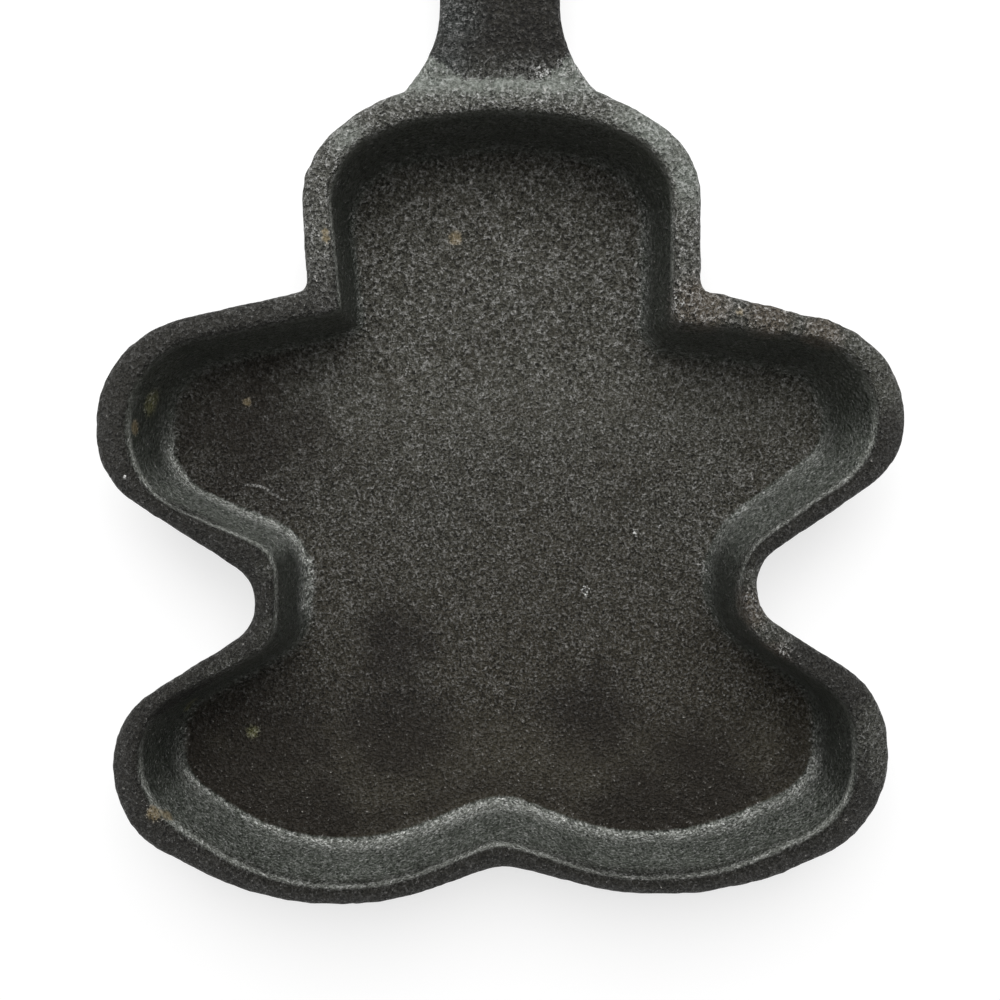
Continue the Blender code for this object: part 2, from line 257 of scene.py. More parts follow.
PALE_FLECKS = [
    (0.0144, -0.0159, 0.0040, 0.0018),
    (-0.0583, 0.0036, 0.0199, 0.0009),
    (-0.0364, -0.0173, 0.0196, 0.0009),
    (-0.0012, -0.0078, 0.0040, 0.0006),
    (0.0228, -0.0060, 0.0040, 0.0012),
    (0.0267, -0.0051, 0.0040, 0.0006),
    (0.0173, 0.0111, 0.0040, 0.0010),
]
PITTED_PATCHES = [
    (0.0385, -0.0170, 0.0195, 0.0060),
    (0.0420, -0.0250, 0.0190, 0.0055),
    (0.0310, 0.0300, 0.0190, 0.0085),
    (0.0420, 0.0285, 0.0190, 0.0070),
    (0.0500, 0.0255, 0.0190, 0.0060),
]
FROSTED_PATCHES = [
    (0.0109, 0.0681, 0.0176, 0.0060),
    (0.0128, 0.0655, 0.0176, 0.0055),
    (0.0065, 0.0672, 0.0176, 0.0045),
    (-0.0100, 0.0668, 0.0176, 0.0045),
    (0.0273, 0.0307, 0.0197, 0.0050),
    (0.0290, 0.0272, 0.0190, 0.0040),
    (0.0390, -0.0155, 0.0195, 0.0035),
    (0.0441, -0.0236, 0.0195, 0.0032),
]
GREYED_HANDLE = [
    (-0.0079, 0.0753, 0.0177, 0.0075),
    (-0.0088, 0.0830, 0.0180, 0.0085),
    (-0.0084, 0.0687, 0.0177, 0.0055),
]
# Patches of the walls on the right that are painted paler as painted light, like the walls that face
# the handle.
PAINTED_LIT_WALL_PATCHES = [
    (0.0558, 0.0062, 0.0158, 0.0110),
    (0.0530, 0.0010, 0.0130, 0.0140),
]
# Places along the walls' foot where its pale line is strongest: a little wear, and mostly a painted
# highlight.
SCUFFED_HIGHLIT_FOOT = [
    (-0.0500, 0.0040, 0.0045, 0.0120),
    (-0.0466, 0.0003, 0.0045, 0.0160),
    (-0.0388, -0.0039, 0.0054, 0.0160),
    (-0.0328, -0.0123, 0.0058, 0.0120),
    (-0.0450, -0.0520, 0.0045, 0.0160),
    (-0.0288, -0.0575, 0.0050, 0.0240),
    (-0.0001, -0.0504, 0.0050, 0.0240),
    (0.0267, -0.0571, 0.0061, 0.0240),
    (0.0469, -0.0509, 0.0058, 0.0150),
]
BURNT_PATCHES = [
    (-0.0440, 0.0100, 0.0040, 0.0270),
    (-0.0400, -0.0420, 0.0040, 0.0260),
    (-0.0180, -0.0400, 0.0040, 0.0180),
    (0.0330, -0.0460, 0.0040, 0.0160),
    (0.0150, -0.0370, 0.0040, 0.0150),
    (-0.0180, -0.0250, 0.0040, 0.0130),
    (-0.0330, -0.0520, 0.0040, 0.0150),
    (0.0250, -0.0520, 0.0040, 0.0150),
]
SOOTED_RIM = [
    (-0.0610, 0.0100, 0.0190, 0.0300),
    (-0.0300, 0.0230, 0.0190, 0.0240),
    (-0.0470, 0.0250, 0.0190, 0.0240),
    (-0.0390, 0.0270, 0.0190, 0.0200),
    (-0.0610, -0.0040, 0.0190, 0.0220),
    (-0.0470, -0.0050, 0.0190, 0.0200),
    (-0.0450, -0.0150, 0.0190, 0.0160),
    (-0.0600, -0.0450, 0.0190, 0.0340),
    (-0.0300, -0.0610, 0.0190, 0.0280),
    (0.0000, -0.0560, 0.0190, 0.0300),
    (0.0300, -0.0600, 0.0190, 0.0280),
    (0.0550, -0.0560, 0.0190, 0.0220),
    (0.0500, -0.0280, 0.0190, 0.0120),
    (0.0500, -0.0030, 0.0190, 0.0200),
    (0.0600, 0.0050, 0.0190, 0.0180),
]
# Places on the rim round the head that are polished and also carry a painted highlight.
POLISHED_HIGHLIT_RIM = [
    (0.0235, 0.0570, 0.0185, 0.0115),
    (-0.0235, 0.0560, 0.0185, 0.0048),
    (0.0290, 0.0500, 0.0185, 0.0080),
]
SCRATCH = [
    (-0.0432, 0.0020, 0.0040),
    (-0.0413, 0.0018, 0.0040),
    (-0.0398, 0.0014, 0.0040),
    (-0.0387, 0.0004, 0.0040),
    (-0.0366, -0.0007, 0.0040),
]
IRON_MARKS = {
    "rust": RUST_SPOTS,
    "stain": STAINS,
    "fleck": PALE_FLECKS,
    "pitted": PITTED_PATCHES,
    "burnt": BURNT_PATCHES,
    "sooted": SOOTED_RIM,
    "polished": POLISHED_HIGHLIT_RIM,
    "frosted": FROSTED_PATCHES,
    "greyed": GREYED_HANDLE,
    "scrubbed": PAINTED_LIT_WALL_PATCHES,
    "scuffed": SCUFFED_HIGHLIT_FOOT,
}
SCRATCH_REACH = 0.0012
FLOOR_TOP = 0.0040
FOOT_HEIGHT = 0.0036
FULLY_FACING = 0.5


def smoothstep(share):
    held = np.clip(share, 0.0, 1.0)
    return held * held * (3.0 - 2.0 * held)


def mark_share(points, marks):
    """1 at the middle of the nearest mark, easing to 0 at its edge."""
    share = np.zeros(len(points))
    for x, y, z, radius in marks:
        away = np.linalg.norm(points - (x, y, z), axis=1)
        share = np.maximum(share, smoothstep(1.0 - away / radius))
    return share


def beside_line(points, line):
    """How far each point lies to the left of the line, or to its right where it is negative."""
    beside = np.full(len(points), math.inf)
    for start, end in zip(np.array(line), np.array(line)[1:]):
        along = end - start
        from_start = points - start
        place = np.clip(from_start @ along / (along @ along), 0.0, 1.0)
        away = np.linalg.norm(from_start - place[:, None] * along, axis=1)
        left = np.sign(along[0] * from_start[:, 1] - along[1] * from_start[:, 0])
        beside = np.where(away < np.abs(beside), left * away, beside)
    return beside


def tightened_foot(points):
    """How far each point of the fillet sinks, where the wall above it faces the handle."""
    way = from_crest(points)
    length = np.maximum(np.linalg.norm(way, axis=1), CREST_TOLERANCE)
    faces_handle = smoothstep(way[:, 1] / length / FULLY_FACING)
    over_floor = points[:, 2] - FLOOR_TOP
    in_fillet = (over_floor > 0) & (over_floor < FOOT_HEIGHT) & (inside_crest(points) > 0)
    kept = smoothstep(over_floor / FOOT_HEIGHT)
    return np.where(in_fillet, over_floor * (1.0 - kept) * faces_handle, 0.0)


def write_attribute(obj, name, values):
    attribute = obj.data.attributes.new(name, "FLOAT", "POINT")
    attribute.data.foreach_set("value", values.astype(np.float32))


def mark_the_iron(obj):
    """Presses the dents into the casting, and writes how far each point is in each kind of mark."""
    points = points_of(obj.data)
    normals = normals_of(obj.data)
    moved = points.copy()
    moved[:, 2] -= tightened_foot(points)
    for x, y, z, radius, height in DENTS:
        share = mark_share(points, [(x, y, z, radius)])
        moved += normals * (share * height)[:, None]
    obj.data.vertices.foreach_set("co", moved.ravel())
    write_attribute(obj, "inside_crest", inside_crest(points))
    for name, marks in IRON_MARKS.items():
        write_attribute(obj, name, mark_share(points, marks))
    beside = beside_line(points, SCRATCH)
    write_attribute(obj, "beside_scratch", beside)
    write_attribute(obj, "near_scratch", smoothstep(1.0 - np.abs(beside) / SCRATCH_REACH))


mark_the_iron(casting)


# The sand's own roughness. It is coarse on the rim, the floor and the handle, smoother on the
# drafted walls, and the outer edge of the rim wanders where the pattern was rubbed by hand.
SKIN_INPUTS = {
    "Wander Height": 0.00030,
    "Wander Size": 0.0070,
    "Lump Height": 0.00015,
    "Lump Size": 0.0022,
    "Grain Height": 0.00009,
    "Grain Size": 0.0010,
    "Wall Share": 0.35,
    "Pitted Share": 2.4,
    "Outer Wander Share": 0.5,
}
SKIN_SEED = 7.0
NOISE_MIDDLE = 0.5
NOISE_TO_BOTH_WAYS = 2.0
SKIN_WALL_SPAN = (0.75, 0.35)
SKIN_INSIDE_SPAN = (0.0005, 0.0015)
SKIN_PITTED_SPAN = (0.0, 0.6)
SKIN_CREST_SPAN = (-0.0010, 0.0010)


def add(tree, kind, inputs=None, output=0, **settings):
    """A new node with its settings made and its inputs filled, and the output asked for."""
    made = tree.nodes.new(kind)
    for name, value in settings.items():
        setattr(made, name, value)
    for name, value in (inputs or {}).items():
        if isinstance(value, bpy.types.NodeSocket):
            tree.links.new(value, made.inputs[name])
        else:
            made.inputs[name].default_value = value
    return made.outputs[output]


def sum_of(tree, operation, first, second=0.0):
    """The result of one sum, such as ADD or MAXIMUM, on one or two values."""
    return add(tree, "ShaderNodeMath", {0: first, 1: second}, operation=operation)


def product(tree, first, *others):
    for other in others:
        first = sum_of(tree, "MULTIPLY", first, other)
    return first


def centred(tree, value, middle=NOISE_MIDDLE):
    return sum_of(tree, "SUBTRACT", value, middle)


def eased(tree, value, low, high, to_low=0.0, to_high=1.0):
    """The value's place between low and high, eased, as a number from to_low to to_high."""
    inputs = {
        "Value": value,
        "From Min": low,
        "From Max": high,
        "To Min": to_low,
        "To Max": to_high,
    }
    return add(tree, "ShaderNodeMapRange", inputs, interpolation_type="SMOOTHSTEP")


def noise(tree, place, size, detail=2.0, roughness=0.5, seed=0.0):
    """Fractal noise from 0 to 1 whose largest lumps are about so big."""
    inputs = {
        "Vector": place,
        "W": seed,
        "Scale": sum_of(tree, "DIVIDE", 1.0, size),
        "Detail": detail,
        "Roughness": roughness,
    }
    return add(tree, "ShaderNodeTexNoise", inputs, noise_dimensions="4D")


def sand_cast_skin():
    """The tree that moves each point of the casting in or out as the sand left it."""
    tree = bpy.data.node_groups.new("sand cast skin", "GeometryNodeTree")
    tree.interface.new_socket("Geometry", in_out="INPUT", socket_type="NodeSocketGeometry")
    for name in SKIN_INPUTS:
        tree.interface.new_socket(name, in_out="INPUT", socket_type="NodeSocketFloat")
    tree.interface.new_socket("Seed", in_out="INPUT", socket_type="NodeSocketFloat")
    tree.interface.new_socket("Iron", in_out="INPUT", socket_type="NodeSocketMaterial")
    tree.interface.new_socket("Geometry", in_out="OUTPUT", socket_type="NodeSocketGeometry")
    given = tree.nodes.new("NodeGroupInput").outputs
    place = add(tree, "GeometryNodeInputPosition")
    normal = add(tree, "GeometryNodeInputNormal")
    faces_up = add(tree, "ShaderNodeSeparateXYZ", {"Vector": normal}, output="Z")
    inside = add(tree, "GeometryNodeInputNamedAttribute", {"Name": "inside_crest"})
    pitted = add(tree, "GeometryNodeInputNamedAttribute", {"Name": "pitted"})

    def roughness(name, seed_step, detail):
        seed = sum_of(tree, "ADD", given["Seed"], seed_step)
        bumps = noise(tree, place, given[name + " Size"], detail, seed=seed)
        return product(tree, centred(tree, bumps), NOISE_TO_BOTH_WAYS, given[name + " Height"])

    wander = roughness("Wander", seed_step=0.0, detail=1.0)
    lumps = roughness("Lump", seed_step=1.0, detail=2.0)
    grain = roughness("Grain", seed_step=2.0, detail=1.0)
    on_wall = product(
        tree,
        eased(tree, faces_up, *SKIN_WALL_SPAN),
        eased(tree, inside, *SKIN_INSIDE_SPAN),
    )
    wall_share = eased(tree, on_wall, 0.0, 1.0, 1.0, given["Wall Share"])
    pitted_share = eased(tree, pitted, *SKIN_PITTED_SPAN, 1.0, given["Pitted Share"])
    fine = product(tree, sum_of(tree, "ADD", lumps, grain), product(tree, wall_share, pitted_share))
    wander_share = eased(tree, inside, *SKIN_CREST_SPAN, 1.0, given["Outer Wander Share"])
    height = sum_of(tree, "ADD", fine, product(tree, wander, wander_share))
    offset_inputs = {"Vector": normal, "Scale": height}
    offset = add(tree, "ShaderNodeVectorMath", offset_inputs, operation="SCALE")
    moved = add(tree, "GeometryNodeSetPosition", {"Geometry": given["Geometry"], "Offset": offset})
    real = add(tree, "GeometryNodeRealizeInstances", {"Geometry": moved})
    dressed = add(tree, "GeometryNodeSetMaterial", {"Geometry": real, "Material": given["Iron"]})
    result = tree.nodes.new("NodeGroupOutput")
    tree.links.new(dressed, result.inputs["Geometry"])
    return tree


# What the seasoning depends on. Noises run from clouds as wide as a thumb down to single grains of
# sand: each row is the largest lump's size, the detail, the roughness and the seed. With a point's
# place and facing they tell the floor, the walls, the rim and the handle apart.
IRON_NOISES = {
    "clouds": (0.016, 3.0, 0.55, 11.0),
    "patches": (0.0055, 3.0, 0.6, 12.0),
    "ragged": (0.0011, 3.0, 0.6, 15.0),
    "head_grain": (0.00062, 2.0, 0.65, 13.0),
    "body_grain": (0.00044, 2.0, 0.65, 17.0),
    "specks": (0.00030, 1.0, 0.6, 14.0),
}
IRON_ATTRIBUTES = (*IRON_MARKS, "inside_crest", "beside_scratch", "near_scratch")
HEAD_GRAIN_SPAN = (0.000, 0.030)
GRAIN_SHARE = 0.6
SPECK_SHARE = 0.4
RAGGED_REACH = 0.0040
RAGGED_RISE = 0.0008
BOW_SPAN = (0.0050, 0.0125, 0.0, 0.0045)
PAST_HEAD_SPAN = (0.0648, 0.0664)
IN_PAN_SPAN = (0.0006, 0.0014)
WALL_FACING_SPAN = (0.90, 0.60)
RIM_INNER_SPAN = (0.0022, 0.0008)
RIM_OUTER_SPAN = (-0.0065, -0.0050)


def read_the_iron(tree):
    """Each point's place, facing, noises and marks, and the share of it on each part of the pan."""
    place = add(tree, "ShaderNodeTexCoord", output="Object")
    normal = add(tree, "ShaderNodeNewGeometry", output="Normal")
    at = SimpleNamespace(place=place)
    for name, shape in IRON_NOISES.items():
        setattr(at, name, noise(tree, place, *shape))
    for name in IRON_ATTRIBUTES:
        setattr(at, name, add(tree, "ShaderNodeAttribute", output="Fac", attribute_name=name))
    at.across = add(tree, "ShaderNodeSeparateXYZ", {"Vector": place}, output="X")
    at.along = add(tree, "ShaderNodeSeparateXYZ", {"Vector": place}, output="Y")
    at.height = add(tree, "ShaderNodeSeparateXYZ", {"Vector": place}, output="Z")
    at.faces_handle = add(tree, "ShaderNodeSeparateXYZ", {"Vector": normal}, output="Y")
    at.faces_up = add(tree, "ShaderNodeSeparateXYZ", {"Vector": normal}, output="Z")

    coarser = sum_of(tree, "SUBTRACT", at.head_grain, at.body_grain)
    coarser = product(tree, coarser, eased(tree, at.along, *HEAD_GRAIN_SPAN))
    at.grain = sum_of(tree, "ADD", at.body_grain, coarser)
    at.sand = sum_of(
        tree,
        "ADD",
        product(tree, at.grain, GRAIN_SHARE),
        product(tree, at.specks, SPECK_SHARE),
    )
    ragged_step = product(tree, centred(tree, at.ragged), RAGGED_REACH)
    at.ragged_along = sum_of(tree, "ADD", at.along, ragged_step)
    at.ragged_height = sum_of(tree, "ADD", at.height, product(tree, at.ragged, RAGGED_RISE))
    bow = eased(tree, sum_of(tree, "ABSOLUTE", at.across), *BOW_SPAN)
    at.from_bow = sum_of(tree, "SUBTRACT", at.ragged_along, bow)
    at.past_head = eased(tree, at.from_bow, *PAST_HEAD_SPAN)
    at.in_pan = eased(tree, at.inside_crest, *IN_PAN_SPAN)
    at.on_wall = product(tree, eased(tree, at.faces_up, *WALL_FACING_SPAN), at.in_pan)
    at.on_rim = product(
        tree,
        eased(tree, at.inside_crest, *RIM_INNER_SPAN),
        eased(tree, at.inside_crest, *RIM_OUTER_SPAN),
    )
    return at


# The floor of the pan. Its iron is grey in the head and browner towards the feet, and fat has burnt
# nearly black on it in one arm and in the legs. In the legs it is also darker along the foot of the
# walls.
GREY_IRON = (0.067, 0.065, 0.051, 1)
BROWN_IRON = (0.048, 0.042, 0.0285, 1)
BURNT_IRON = (0.0180, 0.0142, 0.0100, 1)
CLOUD_REACH = 0.055
BROWNED_SPAN = (0.050, -0.010)
BROWN_PATCH_SPAN = (0.42, 0.70, 0.0, 0.40)
PATCH_STRENGTH = 1.2
DARKER_FOOT_FROM_CREST_SPAN = (0.0100, 0.0060)
DARKER_FOOT_AT_SOLES_SPAN = (-0.030, -0.044)
DARKER_FOOT_HEIGHT_SPAN = (FLOOR_TOP + 0.0006, FLOOR_TOP)
DARKER_FOOT_SHARE = 0.5
BURNT_SPAN = (0.0, 1.0, 0.0, 0.9)
MIX_SHARE, MIX_LOW, MIX_HIGH = 0, 6, 7
MIX_RESULT = 2


def mix(tree, share, low, high):
    """A colour the share of the way from low to high."""
    inputs = {MIX_SHARE: share, MIX_LOW: low, MIX_HIGH: high}
    return add(tree, "ShaderNodeMix", inputs, output=MIX_RESULT, data_type="RGBA")


def blotched(tree, at, mark):
    """The mark's share, with edges that the patches break up."""
    return sum_of(tree, "ADD", mark, product(tree, centred(tree, at.patches), PATCH_STRENGTH))


def floor_colour(tree, at):
    brown_height = sum_of(tree, "ADD", at.along, product(tree, at.clouds, CLOUD_REACH))
    colour = mix(tree, eased(tree, brown_height, *BROWNED_SPAN), GREY_IRON, BROWN_IRON)
    colour = mix(tree, eased(tree, at.patches, *BROWN_PATCH_SPAN), colour, BROWN_IRON)
    # The floor is darker along the foot of the walls in the legs, and this joins the burnt patches
    # below.
    darker_foot = product(
        tree,
        eased(tree, at.inside_crest, *DARKER_FOOT_FROM_CREST_SPAN),
        eased(tree, at.along, *DARKER_FOOT_AT_SOLES_SPAN),
        eased(tree, at.height, *DARKER_FOOT_HEIGHT_SPAN),
        DARKER_FOOT_SHARE,
    )
    burnt = sum_of(tree, "ADD", blotched(tree, at, at.burnt), darker_foot)
    return mix(tree, eased(tree, burnt, *BURNT_SPAN), colour, BURNT_IRON)


# The rim. It is paler round the head, on the side towards the lamp, partly as worn bare iron and
# partly as a painted highlight, and soot has darkened the rest of it in long stretches.
RIM_IRON = (0.058, 0.059, 0.047, 1)
SOOTED_IRON = (0.020, 0.019, 0.0150, 1)
HEAD_IRON = (0.092, 0.092, 0.078, 1)
SOOTED_SPAN = (0.0, 0.5)
HEAD_RIM_SPAN = (0.026, 0.044)


def rim_colour(tree, at):
    sooted = eased(tree, blotched(tree, at, at.sooted), *SOOTED_SPAN)
    colour = mix(tree, sooted, RIM_IRON, SOOTED_IRON)
    # The head's paler rim is partly a painted highlight.
    return mix(tree, eased(tree, at.along, *HEAD_RIM_SPAN), colour, HEAD_IRON)


# The drafted walls. They are smooth and greenish black. Where they face the handle and the lamp
# beyond it, and in a few listed patches, they are painted much paler as painted light. Where they
# face away into the shade, a paler colour is painted on as painted fill light.
WALL_IRON = (0.028, 0.033, 0.0245, 1)
SHADED_WALL = (0.052, 0.057, 0.044, 1)
PAINTED_LIT_WALL_IRON = (0.103, 0.115, 0.095, 1)
SHADED_SPAN = (-0.75, 0.0)
LAMP_FACING_SPAN = (0.20, 0.75)
LIT_WALL_PATCH_SPAN = (0.3, 0.65, 0.62, 1.0)
LIT_WALL_RAGGED_SPAN = (0.35, 0.60, 0.80, 1.05)


def wall_colour(tree, at):
    # Where the walls face the handle and the lamp, and in the listed patches, the paler colour is
    # painted light.
    facing = eased(tree, at.faces_handle, *LAMP_FACING_SPAN)
    scrubbed = product(
        tree,
        sum_of(tree, "MAXIMUM", facing, at.scrubbed),
        eased(tree, at.patches, *LIT_WALL_PATCH_SPAN),
        eased(tree, at.ragged, *LIT_WALL_RAGGED_SPAN),
    )
    # Walls that face away from the lamp take a paler colour than the sides: painted fill light in
    # their shade.
    colour = mix(tree, eased(tree, at.faces_handle, *SHADED_SPAN), SHADED_WALL, WALL_IRON)
    return mix(tree, scrubbed, colour, PAINTED_LIT_WALL_IRON)


# The handle. Its root is nearly black, paler in the corner behind the head and with a greyer stretch
# on the left, and it is greyer again where a hand grips it.
HANDLE_IRON = (0.0065, 0.0056, 0.0037, 1)
HANDLE_WORN_IRON = (0.0175, 0.0156, 0.0108, 1)
HANDLE_ROOT_PALE = (0.070, 0.071, 0.060, 1)
GREYED_IRON = (0.046, 0.051, 0.047, 1)
GRIP_IRON = (0.030, 0.029, 0.025, 1)
HANDLE_WORN_SPAN = (0.36, 0.66)
HANDLE_ROOT_PALE_SPAN = (0.0715, 0.0658, 0.0, 0.75)
GRIP_SPAN = (0.078, 0.110)
GRIP_PATCH_SPAN = (0.30, 0.65, 0.3, 1.0)


def handle_colour(tree, at):
    colour = mix(tree, eased(tree, at.ragged, *HANDLE_WORN_SPAN), HANDLE_IRON, HANDLE_WORN_IRON)
    colour = mix(tree, eased(tree, at.ragged_along, *HANDLE_ROOT_PALE_SPAN), colour, HANDLE_ROOT_PALE)
    colour = mix(tree, at.greyed, colour, GREYED_IRON)
    gripped = product(
        tree,
        eased(tree, at.ragged_along, *GRIP_SPAN),
        eased(tree, at.patches, *GRIP_PATCH_SPAN),
    )
    return mix(tree, gripped, colour, GRIP_IRON)


# The pale places. The slope behind the head and the rim beside it are paler, partly as rubbed iron
# and partly as a painted highlight. Thin pale lines run along the rim's inner edge and along the foot
# of the walls: faint all round as wear, and strong as a painted highlight on the sides that face the
# lamp.
RUBBED_HIGHLIT_IRON = (0.170, 0.186, 0.164, 1)
WORN_HIGHLIT_EDGE = (0.310, 0.324, 0.290, 1)
STREAK_STRETCH = (1, 0.2, 1)
STREAK_NOISE = (0.0008, 2.0, 0.6, 16.0)
STREAK_SPAN = (0.35, 0.62, 0.70, 1.0)
SLOPE_START_SPAN = (0.0606, 0.0654)
SLOPE_END_SPAN = (0.0666, 0.0650)
POLISHED_HIGHLIT_SHARE = 0.9
RUBBED_HIGHLIT_INSIDE_SPAN = (0.0012, 0.0)
WALL_TOP = 0.0190
RIM_LINE_BAND = (WALL_TOP - 0.0014, WALL_TOP, WALL_TOP + 0.0010)
RIM_LINE_INSIDE_SPAN = (0.0003, 0.0009)
RIM_LINE_SHARE = 0.72
FOOT_LINE_BAND = (FLOOR_TOP + 0.0006, FLOOR_TOP + 0.0014, FLOOR_TOP + 0.0070)
FOOT_LINE_INSIDE_SPAN = (0.0020, 0.0030)
FOOT_RAGGED_SPAN = (0.32, 0.58, 0.35, 1.0)
SCUFFED_HIGHLIT_SPAN = (0.0, 0.6, 0.30, 1.0)
LIT_LINE_SPAN = (-0.35, 0.30, 0.25, 1.0)


def band(tree, value, start, peak, end):
    """1 at the peak, easing to 0 at the start and at the end."""
    return product(tree, eased(tree, value, start, peak), eased(tree, value, end, peak))


def rubbed_share(tree, at):
    stretched_inputs = {0: at.place, 1: STREAK_STRETCH}
    stretched = add(tree, "ShaderNodeVectorMath", stretched_inputs, operation="MULTIPLY")
    # The slope and the polished rim are paler: partly rubbed iron and partly a painted highlight.
    slope = product(
        tree,
        eased(tree, at.ragged_along, *SLOPE_START_SPAN),
        eased(tree, at.from_bow, *SLOPE_END_SPAN),
        eased(tree, noise(tree, stretched, *STREAK_NOISE), *STREAK_SPAN),
    )
    rubbed = sum_of(tree, "MAXIMUM", slope, product(tree, at.polished, POLISHED_HIGHLIT_SHARE))
    return product(tree, rubbed, eased(tree, at.inside_crest, *RUBBED_HIGHLIT_INSIDE_SPAN))


def rim_line_share(tree, at):
    line = band(tree, at.ragged_height, *RIM_LINE_BAND)
    return product(tree, line, eased(tree, at.inside_crest, *RIM_LINE_INSIDE_SPAN))


def worn_and_highlit_share(tree, at):
    # Pale lines at the rim's inner edge and at the walls' foot: faint wear all round, and a painted
    # highlight on the sides that face the lamp.
    foot_line = product(
        tree,
        band(tree, at.ragged_height, *FOOT_LINE_BAND),
        eased(tree, at.inside_crest, *FOOT_LINE_INSIDE_SPAN),
        eased(tree, at.ragged, *FOOT_RAGGED_SPAN),
        eased(tree, at.scuffed, *SCUFFED_HIGHLIT_SPAN),
    )
    lines = sum_of(tree, "MAXIMUM", product(tree, at.rim_line, RIM_LINE_SHARE), foot_line)
    return product(tree, lines, eased(tree, at.faces_handle, *LIT_LINE_SPAN))


# The marks' colours. Each mark is densest in its middle and breaks up into single grains towards
# its edge, and the scratch is a thin pale line.
PITTED_IRON = (0.100, 0.082, 0.060, 1)
FROST = (0.180, 0.182, 0.165, 1)
STAIN = (0.150, 0.150, 0.055, 1)
RUST = (0.190, 0.150, 0.082, 1)
FLECK = (0.260, 0.255, 0.235, 1)
MARK_TINTS = (
    ("pitted", PITTED_IRON, 0.60, 0.92),
    ("frosted", FROST, 0.92, 1.20),
    ("stain", STAIN, 0.62, 0.98),
    ("rust", RUST, 0.60, 0.80),
    ("fleck", FLECK, 0.78, 0.96),
)
MARK_STRENGTH = 0.55
MARK_COVER = 0.80
SCRATCH_SPAN = (0.00030, 0.00012, 0.0, 0.45)
SCRATCH_NEAR_SPAN = (0.3, 0.6)


def marked(tree, at, colour):
    for name, tint, low, high in MARK_TINTS:
        mark = product(tree, getattr(at, name), MARK_STRENGTH)
        cover = eased(tree, sum_of(tree, "ADD", mark, at.sand), low, high, 0.0, MARK_COVER)
        colour = mix(tree, cover, colour, tint)
    scratched = product(
        tree,
        eased(tree, sum_of(tree, "ABSOLUTE", at.beside_scratch), *SCRATCH_SPAN),
        eased(tree, at.near_scratch, *SCRATCH_NEAR_SPAN),
    )
    return mix(tree, scratched, colour, FLECK)


# The sand's grain. It darkens the pits with painted shade, lights the tops with painted glints and
# raises them. It is weaker on the walls, the rubbed and highlit places, the rust and the burnt floor
# of the legs, and stronger on the handle.
GRAIN_CONTRAST = 11.5
GRAIN_MIDDLE = 0.470
GLINT_LIMIT = 5.0
GRAIN_BUMP = 0.00260
SPECK_BUMP = 0.00018
WALL_GRAIN = (0.0, 1.0, 1.0, 0.80)
RIM_GRAIN = (0.0, 1.0, 1.0, 0.95)
POLISHED_HIGHLIT_GRAIN = (0.0, 0.6, 1.0, 0.62)
SLOPE_ALONG_SPAN = (0.058, 0.064)
SLOPE_GRAIN = (0.0, 1.0, 1.0, 0.36)
RIM_LINE_GRAIN = (0.0, 0.5, 1.0, 0.70)
HANDLE_GRAIN = (0.0, 1.0, 1.0, 1.15)
LEG_SPAN = (-0.030, -0.046)
LEG_GRAIN = (0.0, 1.0, 1.0, 0.62)
RUST_GRAIN = (0.0, 0.5, 1.0, 0.5)
FROSTED_GRAIN = 0.35


def grain_strength(tree, at):
    off_floor = sum_of(tree, "MAXIMUM", at.on_wall, at.on_rim)
    on_floor = sum_of(tree, "SUBTRACT", 1.0, off_floor)
    strength = product(
        tree,
        eased(tree, at.on_wall, *WALL_GRAIN),
        eased(tree, at.on_rim, *RIM_GRAIN),
        eased(tree, at.polished, *POLISHED_HIGHLIT_GRAIN),
        eased(tree, product(tree, at.rubbed, eased(tree, at.along, *SLOPE_ALONG_SPAN)), *SLOPE_GRAIN),
        eased(tree, at.rim_line, *RIM_LINE_GRAIN),
        eased(tree, at.past_head, *HANDLE_GRAIN),
        eased(tree, product(tree, eased(tree, at.along, *LEG_SPAN), on_floor), *LEG_GRAIN),
    )
    strength = sum_of(tree, "ADD", strength, product(tree, at.frosted, FROSTED_GRAIN))
    return product(tree, strength, eased(tree, at.rust, *RUST_GRAIN))


def grained(tree, at, colour):
    """The colour, with painted shade in the pits and colourless painted glints on the tops of the
    grains.
    """
    contrast = product(tree, at.grain_strength, GRAIN_CONTRAST)
    lift = sum_of(tree, "EXPONENT", product(tree, centred(tree, at.sand, GRAIN_MIDDLE), contrast))
    shade = sum_of(tree, "MINIMUM", lift, 1.0)
    glint = sum_of(tree, "SUBTRACT", sum_of(tree, "MINIMUM", lift, GLINT_LIMIT), shade)
    shaded_inputs = {"Vector": colour, "Scale": shade}
    shaded = add(tree, "ShaderNodeVectorMath", shaded_inputs, operation="SCALE")
    pale = product(tree, add(tree, "ShaderNodeRGBToBW", {"Color": colour}), glint)
    return add(tree, "ShaderNodeVectorMath", {0: shaded, 1: pale}, operation="ADD")


def grain_relief(tree, at):
    coarse_height = product(tree, centred(tree, at.grain), at.grain_strength)
    coarse = add(tree, "ShaderNodeBump", {"Distance": GRAIN_BUMP, "Height": coarse_height})
    fine_height = product(tree, centred(tree, at.specks), at.grain_strength)
    fine_inputs = {"Distance": SPECK_BUMP, "Height": fine_height, "Normal": coarse}
    return add(tree, "ShaderNodeBump", fine_inputs)


# The seasoned skin. Baked fat makes a thin dull varnish on the iron, glossier on the walls, where
# it ran together, and on the tops of the grains, where it is rubbed.
IRON_SHINE = 0.25
LEANING_SPAN = (0.992, 0.95)
LEANING_ROUGHNESS = (0.0, 1.0, 0.58, 0.36)
PATCH_ROUGHNESS = (0.3, 0.7, -0.06, 0.06)
SAND_ROUGHNESS = (0.35, 0.65, 0.16, -0.16)


